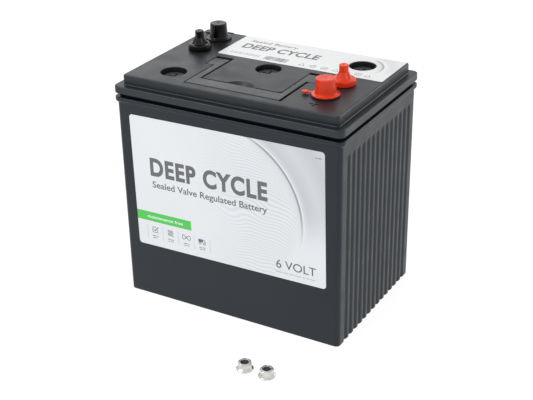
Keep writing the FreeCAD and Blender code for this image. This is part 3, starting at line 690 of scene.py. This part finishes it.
def silver_film(name, size, arc, arc_size, wave_from, wave_to, white, silver):
    """A printed film. Its pattern is laid out in metres from the label's middle: distance from
    the arc's centre less its radius gives the arc's dark and bright edges and the silver beyond,
    and a sine of height, bent by noise, gives the contour lines."""
    material, shader, add, plug, _ = new_material(name)
    flat = add("UVMap", uv_map="label_metres").outputs["UV"]
    offset = add("VectorMath", {0: flat, 1: (arc[0], arc[1], 0)}, operation="SUBTRACT")
    reach = add("VectorMath", {0: offset.outputs[0]}, operation="LENGTH")
    past = add("MapRange", {"Value": reach.outputs["Value"], "From Min": arc_size - 0.010,
                            "From Max": arc_size + 0.070})
    band = ramp(add, past.outputs[0], [
        (0.0, white), (0.070, tuple(c * 0.92 for c in white)),
        (0.104, tuple(c * 0.86 for c in white)),
        (0.118, tuple(c * 0.62 for c in silver)), (0.132, tuple(c * 0.50 for c in silver)),
        (0.146, (0.74, 0.76, 0.79)), (0.165, tuple(c * 1.16 for c in silver)), (0.22, silver),
        (0.40, tuple(c * 1.12 for c in silver)), (0.60, tuple(c * 0.97 for c in silver)),
        (1.0, tuple(c * 0.90 for c in white))])
    axes = add("SeparateXYZ", {"Vector": flat})
    rise = eased(add, axes.outputs["Y"], -0.55 * size[1] / 2, 0.16 * size[1] / 2)
    inward = eased(add, axes.outputs["X"], arc[0] + 0.18 * arc_size, arc[0] + 0.60 * arc_size)
    seen = maths(add, "MULTIPLY", rise, inward)
    printed = add("MixRGB", {"Fac": seen, "Color1": (*white, 1), "Color2": band})
    bend_noise = noise(add, flat, 16.0, 1.0)
    slope = maths(add, "MULTIPLY_ADD", axes.outputs["X"], 0.12, axes.outputs["Y"])
    warped = maths(add, "MULTIPLY_ADD", bend_noise, 0.045, slope)
    turns = maths(add, "MULTIPLY", warped, 2 * math.pi / 0.0036)
    wave = maths(add, "SINE", turns)
    lines = add("MapRange", {"Value": wave, "From Min": -0.3, "From Max": 1.0,
                             "To Min": 0.0, "To Max": 1.0})
    enter = eased(add, axes.outputs["X"], wave_from, wave_to)
    leave = eased(add, reach.outputs["Value"], arc_size - 0.002, arc_size - 0.012)
    zone = maths(add, "MULTIPLY", enter, leave)
    amount = maths(add, "MULTIPLY", zone, lines.outputs[0])
    faint = maths(add, "MULTIPLY", amount, 0.24)
    lined = add("MixRGB", {"Fac": faint, "Color1": printed.outputs["Color"],
                           "Color2": (0.30, 0.31, 0.33, 1)})
    cloud = noise(add, flat, 11.0, 3.0)
    mottle = blend(add, cloud, 0.965, 1.0)
    colour = add("MixRGB", {"Fac": 1.0, "Color1": lined.outputs["Color"], "Color2": mottle},
                 blend_type="MULTIPLY")
    flake = noise(add, flat, 3200.0, 1.0)
    dull = blend(add, flake, 0.30, 0.40)
    ripple = noise(add, flat, 26.0, 2.0)
    height = maths(add, "MULTIPLY_ADD", ripple, 12.0, flake)
    bump = bumped(add, height, 0.10, 0.00004)
    plug(shader, {"Base Color": colour.outputs["Color"], "Roughness": dull,
                  "Specular IOR Level": 0.45, "Normal": bump})
    return material


def placed(grids, place):
    """Grids laid out on a label, in metres from its middle, taken to their place on the object."""
    world = np.array(place)
    return [g @ world[:3, :3].T + world[:3, 3] for g in grids]


def film_sheet(name, long, high, radius, thick, place, material, node, hole=None):
    """A flat sheet with round corners and a soft top edge, as rings from its middle, or from the
    edge of a round hole, out to its rim and back below. Its UV map is the place in metres."""
    path = perimeter(np.linspace(-0.97, 0.97, 25), np.linspace(-0.97, 0.97, 17), 9)
    edge = 0.0001
    shares = (0.4, 0.7, 0.88) if hole is None else (0.15, 0.4, 0.7, 0.88)
    rim = [(long / 2 - edge, high / 2 - edge, radius - edge, thick),
           (long / 2, high / 2, radius, thick - edge), (long / 2, high / 2, radius, 0.0)]
    outer = carried(path, rim)
    if hole is None:
        start = 0 * outer[:1]
    else:
        angle = np.arctan2(outer[0, :, 1] - hole[1], outer[0, :, 0] - hole[0])
        start = np.stack([hole[0] + hole[2] * np.cos(angle), hole[1] + hole[2] * np.sin(angle),
                          0 * angle], axis=-1)[None]
    top = [start + (outer[:1] - start) * s for s in shares]
    for ring in (start, *top):
        ring[..., 2] = thick
    below = start.copy()
    below[..., 2] = 0
    grid = np.concatenate([start, *top, outer, below])
    piece = make_piece(name, placed([grid], place), "battery", material, [node], crease=40,
                       loop=hole is not None)
    mesh = piece.data
    local = placed([mesh_points(mesh)], np.linalg.inv(np.array(place)))[0]
    corners = np.empty(len(mesh.loops), np.int32)
    mesh.loops.foreach_get("vertex_index", corners)
    layer = mesh.uv_layers.new(name="label_metres")
    layer.data.foreach_set("uv", local[corners, :2].astype(np.float32).ravel())
    return piece


front_film = silver_film("front_film", (label_long, label_high_side), arc_centre, arc_radius,
                         -0.045, 0.030, (0.683, 0.708, 0.732), (0.50, 0.515, 0.545))
film_sheet("front_label_film", label_long, label_high_side, 0.0035, label_thick, front_place,
           front_film, "front_label")


def printing_ink(name, colour, other, rough):
    """Screen-printed ink: nearly even, with tiny pinholes of paler tone and a soft gloss."""
    material, shader, add, plug, place = new_material(name)
    speck = noise(add, place, 1800.0, 2.0)
    plug(shader, {"Base Color": ramp(add, speck, [(0.35, colour), (0.75, other)]),
                  "Roughness": blend(add, speck, rough, rough + 0.1)})
    return material


grey_ink = printing_ink("grey_ink", (0.105, 0.108, 0.118), (0.125, 0.128, 0.138), 0.38)
pale_ink = printing_ink("pale_ink", (0.40, 0.41, 0.42), (0.45, 0.46, 0.47), 0.38)
green_ink = printing_ink("green_ink", (0.060, 0.48, 0.066), (0.075, 0.52, 0.082), 0.38)
white_ink = printing_ink("white_ink", (0.80, 0.83, 0.82), (0.86, 0.88, 0.87), 0.38)


ink_thick = 0.00006


def strip(line, width):
    """A printed line: each point of the path is pushed both ways along its normal by half the
    width, at the ink's foot and at its top, and the two ends are closed."""
    line = np.asarray(line, float)
    along = np.gradient(line, axis=0)
    along /= np.linalg.norm(along, axis=1, keepdims=True)
    normal = np.stack([-along[:, 1], along[:, 0]], 1) * width / 2
    ring = [np.column_stack([line + s * normal, np.full(len(line), ink_base + z * ink_thick)])
            for s, z in ((-1, 0), (1, 0), (1, 1), (-1, 1))]
    grid = np.stack(ring, axis=1)
    ends = grid.mean(axis=1, keepdims=True) + 0 * grid
    return np.concatenate([ends[:1], grid, ends[-1:]])


def print_words(name, words, corner, size, bold, place, material, gap=1.0, lift=0.0):
    """Letters from the built-in face, made a mesh, then stretched to a width and height, with
    their lower left corner at a point of a label, and raised by lift over its other ink."""
    curve = bpy.data.curves.new("letters", "FONT")
    curve.body, curve.size, curve.offset, curve.extrude = words, 1.0, bold, 0.001
    curve.space_character = gap
    curve.resolution_u = 6
    maker = bpy.data.objects.new("letters", curve)
    show(maker)
    seen = maker.evaluated_get(bpy.context.evaluated_depsgraph_get())
    mesh = bpy.data.meshes.new_from_object(seen)
    bpy.data.objects.remove(maker)
    points = mesh_points(mesh).astype(float)
    low, high = points.min(0), points.max(0)
    points = (points - low) / np.maximum(high - low, 1e-9) * (*size, ink_thick)
    points = placed([points + (*corner, ink_base + lift)], place)[0]
    mesh.vertices.foreach_set("co", points.astype(np.float32).ravel())
    return finish_piece(name, mesh, "battery", material, crease=30)


ink_base = label_thick - 0.00001
print_words("front_headline", "DEEP CYCLE", (-0.0905, 0.0088), (0.1388, 0.0210), 0.040,
            front_place, grey_ink, gap=1.12)
print_words("front_subtitle", "Sealed Valve Regulated Battery", (-0.0890, -0.0064),
            (0.1365, 0.0096), 0.012, front_place, grey_ink)


def bar(left, right, low, high):
    """A filled printed bar, as a strip along its middle line."""
    middle = (low + high) / 2
    return strip(np.stack([np.linspace(left, right, 4), np.full(4, middle)], 1), high - low)


make_piece("front_green_bar", placed([bar(-0.1117, -0.0443, -0.0448, -0.0340)], front_place),
           "battery", green_ink)
draw = np.random.default_rng(7)


def small_print(left, right, middle, tall):
    """A line of print too small to read: short bars of drawn lengths with word gaps."""
    bars, x = [], left
    while x < right:
        word = min(tall * draw.uniform(1.5, 4.5), right - x)
        if word > tall * 0.5:
            bars.append(strip(np.stack([np.linspace(x, x + word, 3), np.full(3, middle)], 1),
                              tall * 0.55))
        x += word + tall * 0.7
    return bars


print_words("front_bar_print", "maintenance free", (-0.0985, -0.0412), (0.0440, 0.0036), 0.006,
            front_place, white_ink, lift=0.00005)
icon_line = 0.0007
circle = np.linspace(0, 2 * math.pi, 25)


def sketch(x, y, steps, width=icon_line):
    """A printed line through points given in tenths of a millimetre from x, y."""
    return strip([(x + a * 0.0001, y + b * 0.0001) for a, b in steps], width)


def loop_line(x, y, radius, width=icon_line):
    """A printed circle."""
    return strip(np.stack([x + radius * np.cos(circle), y + radius * np.sin(circle)], 1), width)


icon_x, icon_y = (-0.0905, -0.0710, -0.0513, -0.0318), -0.0545
x, y = icon_x[0], icon_y
icons = [sketch(x, y, [(-30, -30), (-30, 30), (15, 30)]),
         sketch(x, y, [(-30, -30), (30, -30), (30, 5)]),
         sketch(x, y, [(-18, 6), (-2, -12), (42, 36)], 0.0010)]
wiggle = np.linspace(-0.0034, 0.0034, 17)
for row in (0.0030, 0.0012, -0.0006, -0.0024):
    icons.append(strip(np.stack([icon_x[1] + wiggle, y + row + 0.0006 * np.sin(wiggle * 1900)], 1),
                       icon_line))
icons.append(strip(np.stack([icon_x[2] + 0.0050 * np.sin(circle), y + 0.0026 * np.sin(2 * circle)],
                            1), icon_line))
x = icon_x[3]
icons.append(bar(x - 0.0045, x + 0.0012, y - 0.0010, y + 0.0024))
icons.append(sketch(x, y, [(12, 18), (30, 18), (44, -12)]))
icons += [loop_line(x + wheel, y - 0.0024, 0.0012) for wheel in (-0.0026, 0.0026)]
for x in icon_x:
    icons += small_print(x - 0.0038, x + 0.0038, -0.0618, 0.0013)
    icons += small_print(x - 0.0032, x + 0.0032, -0.0640, 0.0013)
make_piece("front_icons", placed(icons, front_place), "battery", grey_ink)
print_words("front_voltage", "6 VOLT", (0.0560, -0.0625), (0.0450, 0.0095), 0.004, front_place,
            grey_ink)
make_piece("front_voltage_print", placed(small_print(0.0550, 0.1010, -0.0670, 0.0016), front_place),
           "battery", pale_ink)
make_piece("front_code_print", placed(small_print(0.1015, 0.1085, 0.0668, 0.0013), front_place),
           "battery", grey_ink)
dividers = [strip(np.stack([np.full(3, x), np.linspace(-0.0500, -0.0655, 3)], 1), 0.00035)
            for x in (-0.1000, -0.0808, -0.0612, -0.0416, -0.0220)]
make_piece("front_dividers", placed(dividers, front_place), "battery", pale_ink)

# ---------------------------------------------------------------- top label
# The top label is the same kind of film, stuck along the back of the raised part and cut round the
# third vent's well. It repeats the headline, with a stock code of bars and a row of small signs.

top_low, top_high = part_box("top_label")
top_middle = (top_low + top_high) / 2
top_long, top_deep = top_high.x - top_low.x, top_high.y - top_low.y
top_place = Matrix.Translation((top_middle.x, top_middle.y, top_low.z))
well_low, well_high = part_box("vent_plug_3")
well = (well_low + well_high) / 2 - top_middle
top_film = silver_film("top_film", (top_long, top_deep), (well.x - 0.004, well.y - 0.004), 0.0262,
                       -0.010, 0.040, (0.72, 0.73, 0.735), (0.62, 0.63, 0.64))
film_sheet("top_label_film", top_long, top_deep, 0.002, top_high.z - top_low.z, top_place, top_film,
           "top_label", hole=(well.x, well.y, 0.0144))
ink_base = top_high.z - top_low.z - 0.00001
print_words("top_headline", "DEEP CYCLE", (-0.0570 - top_middle.x, 0.0440 - top_middle.y),
            (0.0910, 0.0140), 0.026, top_place, grey_ink, gap=1.02)
print_words("top_subtitle", "Sealed Battery", (-0.0560 - top_middle.x, 0.0625 - top_middle.y),
            (0.0560, 0.0085), 0.0, top_place, grey_ink)
stock, x = [], -0.0180
while x < 0.0085:
    bar_wide = draw.uniform(0.0002, 0.0007)
    upright = np.stack([np.full(3, x + bar_wide / 2 - top_middle.x),
                        np.linspace(0.0225, 0.0325, 3) - top_middle.y], 1)
    stock.append(strip(upright, bar_wide))
    x += bar_wide + draw.uniform(0.0003, 0.0008)
for line_y in (0.0262, 0.0292):
    stock += small_print(-0.0600 - top_middle.x, -0.0240 - top_middle.x, line_y - top_middle.y,
                         0.0014)
make_piece("top_stock_bars", placed(stock, top_place), "battery", grey_ink)
signs, sign_line = [], 0.0006
for step, x in enumerate((0.0266, 0.0390, 0.0520, 0.0650, 0.0770, 0.0900, 0.1010)):
    cx, cy = x - top_middle.x, 0.0262 - top_middle.y
    if step % 3 == 0:
        signs.append(sketch(cx, cy, [(-32, -26), (0, 32), (32, -26)], sign_line))
        signs.append(bar(cx - 0.0032, cx + 0.0032, cy - 0.0031, cy - 0.0025))
    elif step % 3 == 1:
        signs.append(loop_line(cx, cy, 0.003, sign_line))
        signs.append(sketch(cx, cy, [(-20, -20), (0, 0), (20, 20)], sign_line))
    else:
        signs.append(sketch(cx, cy, [(-30, -28), (-30, 28), (30, 28)], sign_line))
        signs.append(sketch(cx, cy, [(30, 28), (30, -28), (-30, -28)], sign_line))
        signs += small_print(cx - 0.002, cx + 0.002, cy, 0.0014)
make_piece("top_signs", placed(signs, top_place), "battery", grey_ink)

# ---------------------------------------------------------------- nuts
# Two stainless flange nuts for the studs lie in front of the battery: hexagons with chamfered
# corners on a wide washer face, cold formed and threaded.

nut_steel = stainless("nut_steel", (0.53, 0.52, 0.495), (0.72, 0.71, 0.685), 0.14, 0.25)


def paint_bore_shade(material):
    """Darkens a metal's colour by a per-point attribute, as painted shade inside a bore."""
    nodes, links = material.node_tree.nodes, material.node_tree.links
    finish = nodes["Principled BSDF"]
    bore_shade_paint, tone = nodes.new("ShaderNodeAttribute"), nodes.new("ShaderNodeMixRGB")
    bore_shade_paint.attribute_name, tone.blend_type = "bore_shade_paint", "MULTIPLY"
    tone.inputs["Fac"].default_value = 1.0
    links.new(finish.inputs["Base Color"].links[0].from_socket, tone.inputs["Color1"])
    links.new(bore_shade_paint.outputs["Color"], tone.inputs["Color2"])
    links.new(tone.outputs["Color"], finish.inputs["Base Color"])


# Paints shade into the nuts' bores through a per-point attribute.
paint_bore_shade(nut_steel)
nut_turns = {"terminal_nut_1": 8.0, "terminal_nut_2": 22.0}
bore_shade = 0.12
for node, turn in nut_turns.items():
    low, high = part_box(node)
    centre = (low + high) / 2
    flange, flats, bore, tall = 0.0086, 0.00635, 0.00397, high.z
    corner = flats / math.cos(math.pi / 6)
    hex_levels = np.concatenate([[0.0030, 0.0036], np.linspace(tall - 0.0030, tall - 0.0004, 9)])
    rows = [(flange - 0.0003, 0.0), (flange, 0.0003), (flange, 0.0013), (flange - 0.0003, 0.0016),
            (corner + 0.0002, 0.0026)]
    rows += [(corner, z) for z in hex_levels]
    rows += [(flats - 0.0006, tall), (bore + 0.0005, tall)]
    threaded = np.linspace(tall - 0.0005, 0.0005, 56)
    rows += [(bore, z) for z in threaded]
    rows += [(bore + 0.0005, 0.0)]

    def six_sided(angle, radius, z):
        """Takes the round bar down to a hexagon with a domed chamfer, and cuts the thread."""
        around = np.mod(angle - math.radians(turn), math.pi / 3) - math.pi / 6
        flat = flats / np.cos(around)
        dome = corner + 0.0001 - 0.9 * np.maximum(z - (tall - 0.0014), 0)
        hexed = np.minimum(flat, dome)
        on_hex = (radius > flats + 0.0001) & (radius < flange - 0.0004) & (z > 0.0028)
        on_slope = (np.abs(z - 0.0026) < 1e-5)
        in_bore = (radius < bore + 1e-5) & (z < tall - 0.0004) & (z > 0.0004)
        change = np.where(on_hex, hexed - radius, 0.0)
        change = np.where(on_slope, flat + 0.0003 - radius, change)
        return np.where(in_bore, -thread_deep * (1 - thread(angle, z)), change)

    piece = make_piece(node + "_formed", [turned(rows, 96, centre, six_sided)], node, nut_steel,
                       [node], crease=28, loop=True)
    points = mesh_points(piece.data)
    reach = np.hypot(points[:, 0] - centre.x, points[:, 1] - centre.y)
    in_bore = (reach < bore + 0.0003) & (points[:, 2] < tall - 0.0002)
    # Painted shade: each point inside the bore takes bore_shade as a darkening of the steel's
    # colour, and 1.0 elsewhere.
    film = np.where(in_bore, bore_shade, 1.0)
    piece.data.attributes.new("bore_shade_paint", "FLOAT", "POINT").data.foreach_set("value", film)

# ---------------------------------------------------------------- floor, light and camera
# A pale sweep under soft even light, with a broad lamp above to the left, as for a catalogue.

floor_material, shader, add, plug, place = new_material("pale_floor")
weave = noise(add, place, 3.0, 2.0)
plug(shader, {"Base Color": blend(add, weave, 0.22, 0.23),
              "Roughness": 0.9, "Specular IOR Level": 0.1,
              "Emission Color": (1.0, 1.0, 1.0, 1.0), "Emission Strength": 0.86})
mesh = bpy.data.meshes.new("floor")
mesh.from_pydata([(-6, -6, -0.0002), (6, -6, -0.0002), (6, 6, -0.0002), (-6, 6, -0.0002)], [],
                 [(0, 1, 2, 3)])
mesh.materials.append(floor_material)
floor = bpy.data.objects.new("floor", mesh)
show(floor)
floor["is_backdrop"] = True

world = bpy.data.worlds.new("studio")
bpy.context.scene.world = world
world.use_nodes = True
sky = world.node_tree.nodes["Background"].inputs
sky["Color"].default_value = (1.0, 1.0, 1.0, 1)
sky["Strength"].default_value = 0.95


def lamp(name, place, aim, size, watts):
    """A square soft light at a place, turned to face a point."""
    data = bpy.data.lights.new(name, "AREA")
    data.size, data.energy = size, watts
    light = bpy.data.objects.new(name, data)
    show(light)
    light.location = place
    light.rotation_euler = (Vector(aim) - Vector(place)).to_track_quat("-Z", "Y").to_euler()


lamp("key_light", (-1.1, -1.3, 1.9), (0, 0, 0.15), 0.7, 17.0)
lamp("back_light", (-1.9, 2.1, 1.6), (0, 0, 0.2), 1.4, 4.0)
lamp("side_light", (1.4, 2.1, 0.5), (0.1, 0, 0.1), 1.0, 9.0)

azimuth, elevation, roll = math.radians(30.01), math.radians(26.62), math.radians(-1.04)
camera_distance = 1.2416
aim_right, aim_up, aim_height = -0.00225, -0.03681, 0.140
back = Vector((math.sin(azimuth) * math.cos(elevation), -math.cos(azimuth) * math.cos(elevation),
               math.sin(elevation)))
level = Vector((math.cos(azimuth), math.sin(azimuth), 0))
upright = back.cross(level)
right = level * math.cos(roll) + upright * math.sin(roll)
up = upright * math.cos(roll) - level * math.sin(roll)
camera_data = bpy.data.cameras.new("camera")
camera_data.lens = 1172.13 / 533 * 36
camera_data.sensor_width = 36
camera_data.clip_end = 50
camera = bpy.data.objects.new("camera", camera_data)
show(camera)
where = Vector((0, 0, aim_height)) + right * aim_right + up * aim_up + back * camera_distance
turn = Matrix((right, up, back)).transposed().to_4x4()
camera.matrix_world = Matrix.Translation(where) @ turn
bpy.context.scene.camera = camera
bpy.context.scene.view_settings.view_transform = "Standard"

low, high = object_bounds()
